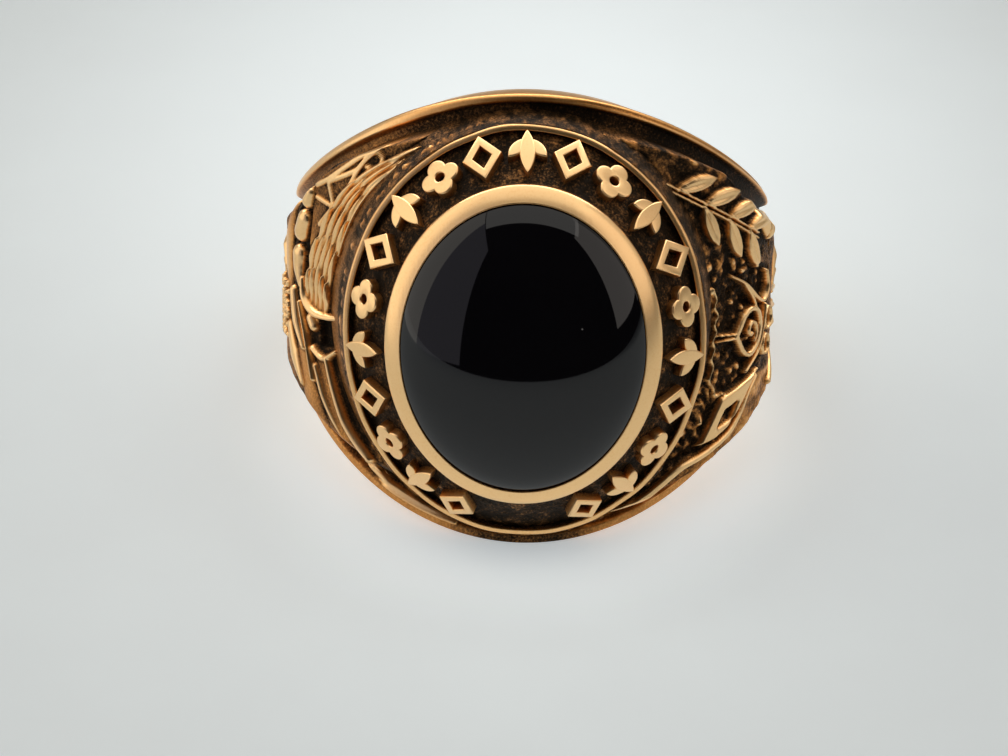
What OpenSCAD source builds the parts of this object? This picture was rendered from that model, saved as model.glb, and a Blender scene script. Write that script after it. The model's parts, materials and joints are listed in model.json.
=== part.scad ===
// Class ring: a one-piece cast ring with a domed oval stone held in its crown.
// It is drawn with the stone up (X across the hand, Y along the finger, Z out of the head), round an
// origin on the finger hole's axis, and is then laid on its side as it rests by itself on a table.

/* [Finger hole and shank] */
// Diameter of the finger hole
bore_d = 17.4; // [15.6:0.1:20.6]
// Wall of the shank outside the finger hole
shank_t = 1.5; // [1.3:0.1:1.8]
// Width of the shank at the back of the finger
shank_w = 5.4; // [4.4:0.1:6.4]
// Width of the polished rim along each edge
rim_w = 0.45; // [0.35:0.05:0.6]
// Depth of the channel inside the rims
channel_d = 0.35; // [0.2:0.05:0.5]

/* [Shoulders] */
// How far the crest of a shoulder stands above the shank, under the ornament
shoulder_rise = 1.15; // [0.9:0.05:1.4]
// How much tighter the shoulder curves than the shank, as a difference of radius
shoulder_tighten = 2; // [1.6:0.1:2.6]
// Angle of the crest from the middle of the head
shoulder_angle = 48; // [45:1:54]
// Gap between a rim and the raised shoulder
shoulder_gap = 0.6; // [0.4:0.05:0.8]
// Height of the cast ornament above the shoulder
relief_h = 0.35; // [0.25:0.05:0.45]

/* [Shoulder ornament] */
// Length of the longest feathers of the wing
feather_l = 2.3; // [1.8:0.1:2.6]
// Width of a feather
feather_w = 0.45; // [0.35:0.05:0.55]
// Length of a bar of the net above the wing
net_l = 1.5; // [1.2:0.1:1.7]
// Length of one joint of the stem beside the wing
stem_l = 1.4; // [1.1:0.1:1.6]
// Length of the clasp under the wing
clasp_l = 2.4; // [1.8:0.1:2.8]
// Length of the longer of the two leaves under the clasp
leaf_l = 4.6; // [3.6:0.2:5]
// Length of one leaf of the laurel spray
spray_leaf_l = 1.9; // [1.5:0.1:2.1]
// Radius of the heart-shaped scroll
scroll_r = 1.05; // [0.85:0.05:1.2]
// Length of the pointed frame under the scroll
point_l = 3.8; // [3:0.2:4.4]
// Width of the strokes that the frames and scrolls are made of
stroke_w = 0.32; // [0.24:0.02:0.4]

/* [Crown] */
// Height of the crown's lip above the shank at the head
crown_rise = 1.5; // [1.3:0.05:1.9]
// Thickness of the lip
lip_t = 0.28; // [0.22:0.02:0.4]
// Depth of the sloped band's floor below the lip
lip_d = 0.35; // [0.2:0.05:0.45]
// How far the foot of the crown spreads beyond the lip
crown_foot = 0.3; // [0.2:0.05:0.4]
// Channel between the crown's foot and the rim at the ends of the head
crown_gap = 0.17; // [0.1:0.01:0.3]
// Breadth of the sloped band at the sides of the stone
band_side = 1.5; // [1.4:0.05:1.7]
// Breadth of the sloped band at the ends of the stone
band_end = 1.7; // [1.55:0.05:1.9]
// Rise of the sloped band from its foot to the bezel
band_rise = 1.75; // [1.5:0.05:2]
// Number of places for marks round the band, counting the empty ones at the foot
mark_places = 23; // [21:1:25]
// Marks left out at the foot of the band
mark_gap = 2; // [1:1:4]
// Height of a mark above the band
mark_h = 0.32; // [0.2:0.02:0.4]
// Length of a mark up the slope of the band
mark_l = 2.05; // [1.8:0.05:2.1]

/* [Bezel and stone] */
// Length of the stone along the finger
stone_l = 12; // [11.6:0.1:12.6]
// Breadth of the stone across the finger
stone_b = 10; // [9.6:0.1:10.4]
// Height of the dome above the stone's widest level
dome_h = 2.25; // [1.9:0.05:2.6]
// Height of the straight edge under the dome
girdle_h = 0.7; // [0.5:0.05:0.9]
// Wall of the bezel outside the stone
bezel_t = 0.35; // [0.3:0.02:0.45]
// Height of the bezel's outer edge above the sloped band
bezel_h = 0.4; // [0.3:0.05:0.5]
// Breadth of the bezel's polished face
bezel_face = 0.65; // [0.55:0.05:0.75]
// Rise of the bezel's polished face from its outer edge to the stone
bezel_rise = 0.45; // [0.35:0.05:0.5]
// How far the stone's widest level lies below the top of the bezel
bezel_grip = 0.8; // [0.65:0.05:0.95]
// Gap left all round the stone in its seat
seat_gap = 0.05; // [0.03:0.01:0.08]

/* [Hidden] */
$fn = 96;

// Radii and levels, counted outwards from the finger hole's axis
bore_r = bore_d / 2;
rim_r = bore_r + shank_t;
channel_r = rim_r - channel_d;
lip_z = rim_r + crown_rise;
band_foot_z = lip_z - lip_d;
band_top_z = band_foot_z + band_rise;
bezel_edge_z = band_top_z + bezel_h;
bezel_top_z = bezel_edge_z + bezel_rise;
girdle_z = bezel_top_z - bezel_grip;
seat_z = girdle_z - girdle_h;

// Half sizes of the ovals, [across the finger, along the finger]
stone_half = [stone_b, stone_l] / 2;
bezel_half = stone_half + [bezel_t, bezel_t];
lip_inner_half = bezel_half + [band_side, band_end];
lip_half = lip_inner_half + [lip_t, lip_t];
foot_half = lip_half + [crown_foot, crown_foot];
head_half_w = foot_half[1] + crown_gap + rim_w;
band_slope = atan(band_rise / ((band_side + band_end) / 2));

// Curve of each raised shoulder: a circle whose centre lies off the finger hole's axis
shoulder_r = rim_r - shoulder_tighten;
shoulder_off = shoulder_rise + shoulder_tighten;
shoulder_x = shoulder_off * sin(shoulder_angle);
shoulder_z = shoulder_off * cos(shoulder_angle);

// How fast the shank widens towards the head: it has its narrow width beyond 180 / flare degrees
flare = 1.6;
// Angles from the middle of the head at which the channel and the raised shoulder end
channel_end = 104;
shoulder_end = 88;
// How deep raised pieces are rooted in what carries them
sink = 0.3;

// Resting on its side: the head's rim and the back of the shank touch the table
rest_tilt = atan((head_half_w - shank_w / 2) / (2 * rim_r));
rest_lift = head_half_w * cos(rest_tilt) - rim_r * sin(rest_tilt);
dome_reach = norm([dome_h * cos(rest_tilt), stone_half[1] * sin(rest_tilt)]);
front = girdle_z * cos(rest_tilt) + dome_reach;
back = rim_r * cos(rest_tilt) + shank_w / 2 * sin(rest_tilt);

// Half of the ring's width at an angle from the middle of the head
function half_width(angle) =
    shank_w / 2 + (head_half_w - shank_w / 2) * (1 + cos(min(flare * angle, 180))) / 2;

// Side outline of the shank, as points [along the finger, height], held in from the edge by inset
function side_outline(inset, last) = concat(
    [[half_width(0) - inset, lip_z]],
    [for (angle = [0:8:last]) [half_width(angle) - inset, rim_r * cos(angle)]],
    [for (angle = [last:-8:0]) [inset - half_width(angle), rim_r * cos(angle)]],
    [[inset - half_width(0), lip_z]]);

// Distance of a shoulder's surface from the finger hole's axis, at an angle from the middle of the head
function shoulder_reach(angle) =
    shoulder_off * cos(angle - shoulder_angle)
    + sqrt(shoulder_r * shoulder_r - pow(shoulder_off * sin(angle - shoulder_angle), 2));

// Outline of a shoulder seen from above, held in from the edge of the ring by inset
function plan_outline(inset) = concat(
    [[rim_r + shoulder_rise, half_width(90) - inset]],
    [for (angle = [90:-9:0]) [shoulder_reach(angle) * sin(angle), half_width(angle) - inset]],
    [for (angle = [0:9:90]) [shoulder_reach(angle) * sin(angle), inset - half_width(angle)]],
    [[rim_r + shoulder_rise, inset - half_width(90)]]);

// Solid of an oval, from one height to another, with a straight or sloped wall
module oval(half_low, half_high, z_low, z_high) {
    translate([0, 0, z_low])
        scale([half_low[0] / half_low[1], 1, 1])
            cylinder(r1 = half_low[1], r2 = half_high[1], h = z_high - z_low);
}

// An outline raised above the surface it is placed on, and rooted in it
module raised(h = relief_h) {
    translate([0, 0, -sink]) linear_extrude(h + sink) children();
}

// Straight bar with round ends
module bar(l, w, h = relief_h) {
    raised(h) {
        square([w, l - w], center = true);
        for (end = [-1, 1]) translate([0, end * (l - w) / 2]) circle(d = w, $fn = 24);
    }
}

// Outline of a pointed leaf: the part that two circles share
module leaf_shape(l, w) {
    r = (l * l + w * w) / (4 * w);
    intersection_for(side = [-1, 1]) translate([side * (r - w / 2), 0]) circle(r);
}

module leaf(l, w, h = relief_h) {
    raised(h) leaf_shape(l, w);
}

// Four-sided frame on its corner, with walls as thick as half of what its hole is smaller by
module lozenge(l, w, wall_l, wall_w, h = relief_h) {
    raised(h)
        difference() {
            polygon([[w / 2, 0], [0, l / 2], [-w / 2, 0], [0, -l / 2]]);
            polygon([[w / 2 - wall_w, 0], [0, l / 2 - wall_l], [wall_w - w / 2, 0], [0, wall_l - l / 2]]);
        }
}

// Part of a round strip
module arc_strip(r, w, from, sweep, h = relief_h) {
    translate([0, 0, -sink])
        rotate([0, 0, from])
            rotate_extrude(angle = sweep, $fn = 48)
                translate([r - w / 2, 0]) square([w, h + sink]);
}

// Shank with its two rims: a round hoop whose edges follow the side outline
module hoop() {
    intersection() {
        rotate([90, 0, 0]) cylinder(r = rim_r, h = 3 * head_half_w, center = true);
        rotate([90, 0, 90])
            linear_extrude(3 * rim_r, center = true) polygon(side_outline(0, 184));
    }
}

// Channel cut inside the rims over the head and down both sides
module channel() {
    intersection() {
        rotate([90, 0, 0])
            difference() {
                cylinder(r = rim_r + shank_t, h = 3 * head_half_w, center = true);
                cylinder(r = channel_r, h = 4 * head_half_w, center = true);
            }
        rotate([90, 0, 90])
            linear_extrude(3 * rim_r, center = true) polygon(side_outline(rim_w, channel_end));
    }
}

// Raised panel of one shoulder, from the crown's foot to where it sinks into the channel
module shoulder() {
    intersection() {
        translate([shoulder_x, 0, shoulder_z])
            rotate([90, 0, 0]) cylinder(r = shoulder_r, h = 3 * head_half_w, center = true);
        linear_extrude(lip_z) polygon(plan_outline(rim_w + shoulder_gap));
        rotate([90, 0, 90])
            linear_extrude(3 * rim_r, center = true) polygon(side_outline(rim_w, shoulder_end));
        rotate([90, 0, 0])
            linear_extrude(3 * head_half_w, center = true)
                polygon([[shoulder_x, bore_r - sink], [shoulder_x + shoulder_tighten, lip_z],
                         [rim_r + shoulder_rise, lip_z], [rim_r + shoulder_rise, 0], [shoulder_x, 0]]);
    }
}

// Puts a piece of ornament on a shoulder, at an angle round the shoulder's curve and a place along
// the finger, turned in its own plane
module on_shoulder(angle, along, turn = 0) {
    translate([shoulder_x, along, shoulder_z])
        rotate([0, angle, 0])
            translate([0, 0, shoulder_r]) rotate([0, 0, turn]) children();
}

// Left shoulder: a feathered wing beside the crown, a net of bars above it, a jointed stem at the
// side, and two long leaves that run down from a clasp. Places along the finger are shares of reach,
// and lengths are shares of the named ones.
module wing_ornament() {
    reach = half_width(45);
    // rows of feathers: [angle, place, feathers, length, turn]
    rows = [[47, 0.04, 4, 1, 5], [41, 0.28, 4, 0.9, 12], [34, 0.52, 3, 0.85, 22],
            [26, 0.74, 3, 0.8, 34], [18, 0.91, 2, 0.65, 50]];
    for (row = rows, k = [0:row[2] - 1]) {
        off = k - (row[2] - 1) / 2;
        on_shoulder(row[0] + 4 * off, row[1] * reach - feather_w * off / 3, row[4])
            bar(feather_l * (row[3] - 0.1 * abs(off)), feather_w, relief_h * (1 - 0.1 * abs(off)));
    }
    // net: [angle, place, length, turn]
    net = [[50, 0.56, 1, -30], [49, 0.61, 0.9, 30], [42, 0.7, 0.9, -65], [34, 0.8, 0.9, -70]];
    for (b = net)
        on_shoulder(b[0], b[1] * reach, b[3]) bar(net_l * b[2], stroke_w * 0.65, relief_h * 0.7);
    // stem of three joints
    for (k = [0:2]) on_shoulder(62 + 4 * k, (0.47 - 0.22 * k) * reach, -8) bar(stem_l, stem_l * 0.43);
    // clasp
    on_shoulder(53, -0.25 * reach, 80) bar(clasp_l, clasp_l * 0.3, relief_h * 0.9);
    // leaves
    on_shoulder(36, -0.66 * reach, -40) leaf(leaf_l, leaf_l * 0.2);
    on_shoulder(51, -0.5 * reach, -38) leaf(leaf_l * 0.75, leaf_l * 0.17, relief_h * 0.8);
}

// Right shoulder: a laurel spray at the top, a heart-shaped scroll on a stem, and a pointed frame
// below
module scroll_ornament() {
    reach = half_width(45);
    // laurel spray: a stem with leaves on both sides, but for the first lower one
    on_shoulder(40, 0.62 * reach, 63) bar(spray_leaf_l * 3, stroke_w * 0.6, relief_h * 0.8);
    for (k = [0:3]) {
        on_shoulder(30.5 + 9 * k, (0.81 - 0.095 * k) * reach, -79) leaf(spray_leaf_l, spray_leaf_l * 0.38);
        if (k > 0)
            on_shoulder(27 + 9 * k, (0.66 - 0.095 * k) * reach, 25) leaf(spray_leaf_l, spray_leaf_l * 0.38);
    }
    // heart-shaped scroll on its stem, between two side leaves
    on_shoulder(56, -0.06 * reach) {
        arc_strip(scroll_r, stroke_w, -60, 280);
        arc_strip(scroll_r * 0.48, stroke_w * 0.85, 0, 270);
    }
    on_shoulder(44, -0.06 * reach, 90) bar(scroll_r * 1.5, stroke_w, relief_h * 0.8);
    for (end = [-1, 1])
        on_shoulder(67, end * 0.25 * reach, end * 20) leaf(scroll_r * 1.7, scroll_r * 0.57);
    // pointed frame
    on_shoulder(43, -0.62 * reach, -50)
        lozenge(point_l, point_l * 0.34, stroke_w * 2.6, stroke_w);
    // knuckle at the side
    on_shoulder(63, 0.48 * reach, 30) bar(stem_l * 0.65, stem_l * 0.57);
}

// Sprig of three pointed leaves that spring from one foot
module sprig(l, h) {
    foot = -0.3 * l;
    raised(h) {
        leaf_shape(l, l * 0.3);
        for (side = [-1, 1])
            translate([0, foot]) rotate(40 * side) translate([0, l * 0.28]) leaf_shape(l * 0.56, l * 0.25);
    }
}

// Flower of four round petals round an open eye
module flower(l, h) {
    raised(h)
        difference() {
            for (k = [0:3]) rotate(90 * k) translate([0, l * 0.2]) circle(d = l * 0.38, $fn = 24);
            circle(d = l * 0.19, $fn = 24);
        }
}

// One mark of the band's ornament
module mark(kind) {
    if (kind == 0)
        sprig(mark_l, mark_h);
    else if (kind == 1)
        lozenge(mark_l, mark_l * 0.75, mark_l * 0.24, mark_l * 0.19, mark_h);
    else
        flower(mark_l, mark_h);
}

// Band of marks round the slope of the crown, symmetric about the head's centre line
module marks() {
    middle = (bezel_half + lip_inner_half) / 2;
    step = 360 / mark_places;
    for (k = [0:mark_places - 1 - mark_gap]) {
        t = 270 + step * (k + (mark_gap + 1) / 2);
        place = [middle[0] * cos(t), middle[1] * sin(t)];
        facing = atan2(sin(t) / middle[1], cos(t) / middle[0]);
        translate([place[0], place[1], (band_foot_z + band_top_z) / 2])
            rotate([0, 0, facing]) rotate([0, band_slope, 0]) rotate([0, 0, 90])
                mark(floor(abs(k - (mark_places - 1 - mark_gap) / 2)) % 3);
    }
}

// Solid with an oval plan: turned from its profile at the ends of the oval, then squeezed to its
// breadth
module oval_turned(half, profile) {
    scale([half[0] / half[1], 1, 1]) rotate_extrude() polygon(profile);
}

// Crown: foot, thin lip, sloped band and polished bezel, all solid down to the finger hole
module crown() {
    root_z = bore_r - sink;
    // the band runs on inside the bezel
    band_over = 0.12;
    band_end_y = bezel_half[1] - band_over * band_end;
    band_end_z = band_top_z + band_over * band_rise;
    oval_turned(lip_half, [
        [0, root_z], [foot_half[1], root_z], [lip_half[1], lip_z], [lip_inner_half[1], lip_z],
        [lip_inner_half[1], band_foot_z], [band_end_y, band_end_z], [0, band_end_z]]);
    // the face ends in a short wall that drops into the stone's seat
    face_end_y = bezel_half[1] - bezel_face;
    seat_mid_z = (seat_z + girdle_z) / 2;
    oval_turned(bezel_half, [
        [0, band_foot_z], [bezel_half[1], band_foot_z], [bezel_half[1], bezel_edge_z],
        [face_end_y, bezel_top_z], [face_end_y, seat_mid_z], [0, seat_mid_z]]);
}

// The stone's form, grown all round by gap: a straight edge under a dome
module stone_form(gap) {
    half = stone_half + [gap, gap];
    oval(half, half, seat_z - gap, girdle_z);
    intersection() {
        translate([0, 0, girdle_z])
            scale([half[0] / half[1], 1, (dome_h + gap) / half[1]]) sphere(r = half[1]);
        translate([0, 0, girdle_z + lip_z / 2]) cube([2 * lip_z, 2 * lip_z, lip_z], center = true);
    }
}

// Lays the ring on its side, with the middle of its footprint at the origin
module laid() {
    translate([0, (front - back) / 2, rest_lift]) rotate([90 - rest_tilt, 0, 0]) children();
}

// Finger hole
module bore() {
    rotate([90, 0, 0]) cylinder(r = bore_r, h = 3 * head_half_w, center = true);
}

module ring() {
    color("goldenrod")
        laid() {
            difference() {
                hoop();
                channel();
                bore();
            }
            difference() {
                mirror([1, 0, 0]) {
                    shoulder();
                    wing_ornament();
                }
                bore();
            }
            difference() {
                union() {
                    shoulder();
                    scroll_ornament();
                }
                bore();
            }
            difference() {
                union() {
                    crown();
                    marks();
                }
                bore();
                stone_form(seat_gap);
            }
        }
}

module stone() {
    color("black") laid() stone_form(0);
}

ring();
stone();
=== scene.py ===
"""Class ring, cast in gold with a domed oval onyx. It lies on its side on a pale table."""
import json
import math

import bmesh
import bpy
import numpy as np
from mathutils import Matrix, Vector


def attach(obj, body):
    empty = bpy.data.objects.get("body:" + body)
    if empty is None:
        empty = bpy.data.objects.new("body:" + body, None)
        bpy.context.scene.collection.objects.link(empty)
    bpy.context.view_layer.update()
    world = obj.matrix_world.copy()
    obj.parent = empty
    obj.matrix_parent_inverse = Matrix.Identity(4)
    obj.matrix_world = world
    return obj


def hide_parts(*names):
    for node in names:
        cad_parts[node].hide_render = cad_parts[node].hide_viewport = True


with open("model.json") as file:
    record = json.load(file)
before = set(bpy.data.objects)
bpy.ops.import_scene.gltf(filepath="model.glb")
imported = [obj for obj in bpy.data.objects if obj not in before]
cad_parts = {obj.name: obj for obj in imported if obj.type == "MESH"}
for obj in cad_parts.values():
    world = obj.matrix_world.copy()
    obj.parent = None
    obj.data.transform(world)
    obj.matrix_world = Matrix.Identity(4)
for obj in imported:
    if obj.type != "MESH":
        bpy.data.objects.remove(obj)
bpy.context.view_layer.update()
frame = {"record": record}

# Back of the shank
# The plain lower half of the ring, a polished band of 10 karat gold with eased edges, cast in one with
# the shoulders. Their upper edge is rounder than its own, which leaves a small step where they meet.
hole = frame["record"]["mounts"][0]
along = np.array(hole["axis"], float)
along /= np.linalg.norm(along)
across = np.array([1.0, 0.0, 0.0])
outward = np.cross(across, along)
bore_r = hole["dims"]["r_mm"]
rim_r = bore_r + 1.5
shank_half = 2.7
head_half = 9.25
edge_r = 0.16
bore_edge_r = 0.2
channel_depth = 0.35
shank_from = 118
# inside the casting, the separate pieces are closed off at this radius
deep_r = 9.2


def in_frame(p):
    """Millimetres across the hand, along the finger and out of the head, as metres in the frame."""
    p = np.asarray(p, float)
    moved = p[..., 0:1] * across + p[..., 1:2] * along + p[..., 2:3] * outward
    return np.array(hole["pos_m"]) + moved / 1000


def ease(x):
    x = np.clip(x, 0, 1)
    return x * x * (3 - 2 * x)


def half_width(theta):
    """Half of the ring's width at an angle in degrees from the middle of the head."""
    return shank_half + (head_half - shank_half) * (1 + np.cos(np.radians(np.minimum(1.6 * theta, 180)))) / 2


def edge_steps():
    """Distances in from the ring's edge, close together where the edge is rounded."""
    return np.concatenate([[0, 0.015, 0.04, 0.08, 0.125], np.linspace(0.17, 1.25, 17)])


def polar(side, theta, along_mm, r, tarnish_and_painted_light):
    """Points at an angle and distance from the finger hole's axis, with their antiquing and painted light."""
    t = np.radians(theta)
    parts = np.broadcast_arrays(side * r * np.sin(t), along_mm, r * np.cos(t), tarnish_and_painted_light)
    return np.stack(parts, -1)


def low_end(theta, r):
    """Half of the ring's width at its low end, where the end face slopes in towards the finger hole."""
    return half_width(np.degrees(np.arccos(np.clip(r * np.cos(np.radians(theta)) / rim_r, -1, 1))))


def edge_and_bore(side, thetas, skin):
    """The two end faces of the band, with their rounded inner edges, and the wall of the finger hole."""
    turn = np.radians(np.linspace(0, 90, 5))
    r = np.concatenate([[deep_r], bore_r + bore_edge_r * (1 - np.sin(turn))])[None, :]
    inset = np.concatenate([[0], bore_edge_r * (1 - np.cos(turn))])[None, :]
    theta = thetas[:, None]
    low, high = inset - low_end(theta, r), half_width(theta) - inset
    sheets = []
    for rim, place in ((skin[:, :1], low), (skin[:, -1:], high)):
        sheets.append(np.concatenate([rim, polar(side, theta, place, r, 0.06)], 1))
    share = np.linspace(0, 1, 17)[None, :]
    sheets.append(polar(side, theta, low[:, -1:] * (1 - share) + high[:, -1:] * share, bore_r, 0.1))
    return sheets


def keep_tarnish_and_painted_light(mesh, values):
    """Stores each point's antiquing and painted light, which the gold reads."""
    mesh.attributes.new("tarnish_and_painted_light", "FLOAT", "POINT").data.foreach_set("value", values.astype(np.float32))


def cast(name, sheets, rings=(), sharp=None):
    """One closed mesh of sheets of points whose edges meet, and of flat ends given as rings of points."""
    points, quads, start = [], [], 0
    for sheet in sheets:
        rows, cols = sheet.shape[:2]
        at = start + np.arange(rows * cols).reshape(rows, cols)
        quads.append(np.stack([at[:-1, :-1], at[1:, :-1], at[1:, 1:], at[:-1, 1:]], -1).reshape(-1, 4))
        points.append(sheet.reshape(-1, 4))
        start += rows * cols
    loops = []
    for ring in rings:
        loops.append(start + np.arange(len(ring)))
        points.append(ring)
        start += len(ring)
    points, quads = np.concatenate(points), np.concatenate(quads)
    _, first, same = np.unique(np.round(points[:, :3], 5), axis=0, return_index=True, return_inverse=True)
    same = same.reshape(-1)
    points, quads = points[first], same[quads]
    whole = 1 + (np.diff(np.sort(quads, 1), axis=1) != 0).sum(1)
    faces = quads[whole == 4].tolist()
    for quad in quads[whole == 3].tolist():
        faces.append(list(dict.fromkeys(quad)))
    for loop in loops:
        faces.append(list(dict.fromkeys(same[loop].tolist())))
    mesh = bpy.data.meshes.new(name)
    mesh.from_pydata(in_frame(points[:, :3]).tolist(), [], faces)
    work = bmesh.new()
    work.from_mesh(mesh)
    bmesh.ops.recalc_face_normals(work, faces=work.faces)
    work.to_mesh(mesh)
    work.free()
    keep_tarnish_and_painted_light(mesh, points[:, 3])
    mesh.shade_smooth()
    if sharp is not None:
        ends = np.empty(len(mesh.edges) * 2, int)
        mesh.edges.foreach_get("vertices", ends)
        on = sharp(points)
        mark = on[ends].reshape(-1, 2).all(1)
        mesh.attributes.new("sharp_edge", "BOOLEAN", "EDGE").data.foreach_set("value", mark)
    made = bpy.data.objects.new(name, mesh)
    bpy.context.collection.objects.link(made)
    return made


def rounded_edge(e, r):
    """How far a rounded edge of radius r falls below the surface, at a distance e in from it."""
    e = np.clip(e, 0, r)
    return r - np.sqrt(np.maximum(r * r - (r - e) ** 2, 0))


def add_node(tree, kind, settings=(), inputs=()):
    """Adds a node with its settings, and its inputs as values or as links from other nodes."""
    made = tree.nodes.new(kind)
    for key, value in dict(settings).items():
        setattr(made, key, value)
    for key, value in dict(inputs).items():
        if isinstance(value, bpy.types.NodeSocket):
            tree.links.new(value, made.inputs[key])
        else:
            made.inputs[key].default_value = value
    return made


def colour(sheet_hex):
    """An sRGB colour such as "E3B27C" as linear red, green, blue and alpha."""
    parts = [int(sheet_hex[k:k + 2], 16) / 255 for k in (0, 2, 4)]
    return [c / 12.92 if c <= 0.04045 else ((c + 0.055) / 1.055) ** 2.4 for c in parts] + [1.0]


# 10 karat gold, cast, then polished on everything raised: a warm peach mirror, softly blurred. The
# recesses keep a dark antiquing, dull and grainy, which wears to ochre on the way up to an edge.
gold = bpy.data.materials.new("cast_10k_gold_polished_and_antiqued")
gold.use_nodes = True
tree = gold.node_tree
surface = tree.nodes["Principled BSDF"]
place = add_node(tree, "ShaderNodeTexCoord").outputs["Object"]
# this map holds the antiquing, and also painted light: a painted reflection and painted shade on the
# shoulders' rims
dark = add_node(tree, "ShaderNodeAttribute", {"attribute_name": "tarnish_and_painted_light"}).outputs["Fac"]
# patches of patina, about 1.4 mm across
patina = add_node(tree, "ShaderNodeTexNoise", {},
                  {"Vector": place, "Scale": 1 / 0.0014, "Detail": 4.0, "Roughness": 0.6})
# casting grain of 0.09 mm
grain = add_node(tree, "ShaderNodeTexNoise", {},
                 {"Vector": place, "Scale": 1 / 0.00009, "Detail": 3.0, "Roughness": 0.65})
worn = add_node(tree, "ShaderNodeMath", {"operation": "MULTIPLY_ADD"},
                {0: patina.outputs["Fac"], 1: 0.7, 2: -0.35})
grainy = add_node(tree, "ShaderNodeMath", {"operation": "MULTIPLY_ADD"},
                  {0: grain.outputs["Fac"], 1: 1.5, 2: -0.75})
mixed = add_node(tree, "ShaderNodeMath", {"operation": "ADD"}, {0: worn.outputs[0], 1: grainy.outputs[0]})
weight = add_node(tree, "ShaderNodeMapRange", {},
                  {"Value": dark, "From Min": 0.25, "From Max": 0.7, "To Min": 0.14})
shift = add_node(tree, "ShaderNodeMath", {"operation": "MULTIPLY"},
                 {0: mixed.outputs[0], 1: weight.outputs[0]})
level = add_node(tree, "ShaderNodeMath", {"operation": "ADD", "use_clamp": True},
                 {0: dark, 1: shift.outputs[0]})
tone = add_node(tree, "ShaderNodeValToRGB", {}, {"Fac": level.outputs[0]})
steps = tone.color_ramp
steps.elements[0].position, steps.elements[0].color = 0.0, colour("FFD296")
steps.elements[1].position, steps.elements[1].color = 1.0, colour("1B1206")
for position, shade in ((0.18, "EFB26D"), (0.3, "D2924F"), (0.42, "A8733F"), (0.6, "7A5532"),
                        (0.8, "412D18")):
    step = steps.elements.new(position)
    step.color = colour(shade)
shine = add_node(tree, "ShaderNodeMapRange", {},
                 {"Value": level.outputs[0], "From Max": 0.8, "To Min": 0.28, "To Max": 0.65})
bare = add_node(tree, "ShaderNodeMapRange", {},
                {"Value": level.outputs[0], "From Min": 0.3, "From Max": 0.9, "To Min": 1.0, "To Max": 0.5})
# polishing lines about 0.05 mm apart, drawn at 0.12 mm so that they show
lines = add_node(tree, "ShaderNodeMapping", {},
                 {"Vector": place, "Rotation": (0.3, 0.5, 0.9),
                  "Scale": (1 / 0.00012, 1 / 0.0012, 1 / 0.0012)})
scuff = add_node(tree, "ShaderNodeTexNoise", {},
                 {"Vector": lines.outputs[0], "Scale": 1.0, "Detail": 3.0, "Roughness": 0.7})
cast_share = add_node(tree, "ShaderNodeMapRange", {},
                      {"Value": level.outputs[0], "From Min": 0.08, "From Max": 0.3})
height = add_node(tree, "ShaderNodeMix", {"data_type": "FLOAT"},
                  {0: cast_share.outputs[0], 2: scuff.outputs["Fac"], 3: grain.outputs["Fac"]})
depth = add_node(tree, "ShaderNodeMapRange", {},
                 {"Value": level.outputs[0], "From Min": 0.32, "From Max": 0.75, "To Min": 0.12})
bump = add_node(tree, "ShaderNodeBump", {},
                {"Height": height.outputs[0], "Strength": depth.outputs[0], "Distance": 0.00004})
for socket, value in (("Base Color", tone.outputs["Color"]), ("Roughness", shine.outputs[0]),
                      ("Metallic", bare.outputs[0]), ("Normal", bump.outputs[0])):
    tree.links.new(value, surface.inputs[socket])
surface.inputs["Specular IOR Level"].default_value = 0.2

thetas = np.linspace(shank_from, 180, 110)
steps_in = edge_steps()
inner = np.linspace(-1, 1, 41)[1:-1]
w = half_width(thetas)[:, None]
columns = np.concatenate([-(w - steps_in), inner * (w - steps_in[-1]), (w - steps_in)[:, ::-1]], 1)
skin_r = rim_r - rounded_edge(w - np.abs(columns), edge_r)
halves = []
for side in (-1, 1):
    halves.append(polar(side, thetas[:, None], columns, skin_r, 0.04))
    halves += edge_and_bore(side, thetas, halves[-1])


def end_ring(sheets, row):
    """The outline of a cut through the band: its skin, one end face, the finger hole, the other end face."""
    skin, low, high, bore = (s[row] for s in sheets)
    return np.concatenate([skin, high[1:], bore[::-1][1:], low[::-1][1:-1]])


shank = cast("shank_back", halves, [end_ring(halves[0:4], 0), end_ring(halves[4:8], 0)],
             lambda p: np.abs(np.degrees(np.arctan2(np.abs(p[:, 0]), p[:, 2])) - shank_from) < 1e-3)
shank.data.materials.append(gold)
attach(shank, "root")
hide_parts("ring")

# Shoulders
# The two sides of the head: a polished rim along each edge, a dark channel inside it, and a raised panel
# of cast ornament. All of it came out of the mould and the raised parts were then polished.
shoulder_r = 8.2
shoulder_x = 2.341
shoulder_n = 2.108
# the same centre, as its distance from the finger hole's axis and its angle from the middle of the head
shoulder_out, shoulder_lean = 3.15, math.radians(48)
panel_inset = 1.05
rim_low, rim_top, rim_left, rim_right = 0.42, 0.27, 0.45, 0.3
channel_edge = 0.14
palm_inset = 0.32
crown_foot = (7.43, 8.63)
cell = 0.035
mm_per_degree = math.radians(shoulder_r)
canvas_round = np.arange(0, 15.4, cell)
canvas_along = np.arange(-8.8, 8.8, cell)
ROUND, ALONG = np.meshgrid(canvas_round, canvas_along, indexing="ij")
dice = np.random.default_rng(12)


def soften(field, mm, step=cell):
    """A Gaussian blur of a grid of heights, mm wide."""
    rows, cols = (np.fft.fftfreq(n, step) for n in field.shape)
    fall = np.exp(-2 * (math.pi * mm) ** 2 * (rows[:, None] ** 2 + cols[None, :] ** 2))
    return np.fft.ifft2(np.fft.fft2(field) * fall).real


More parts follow.
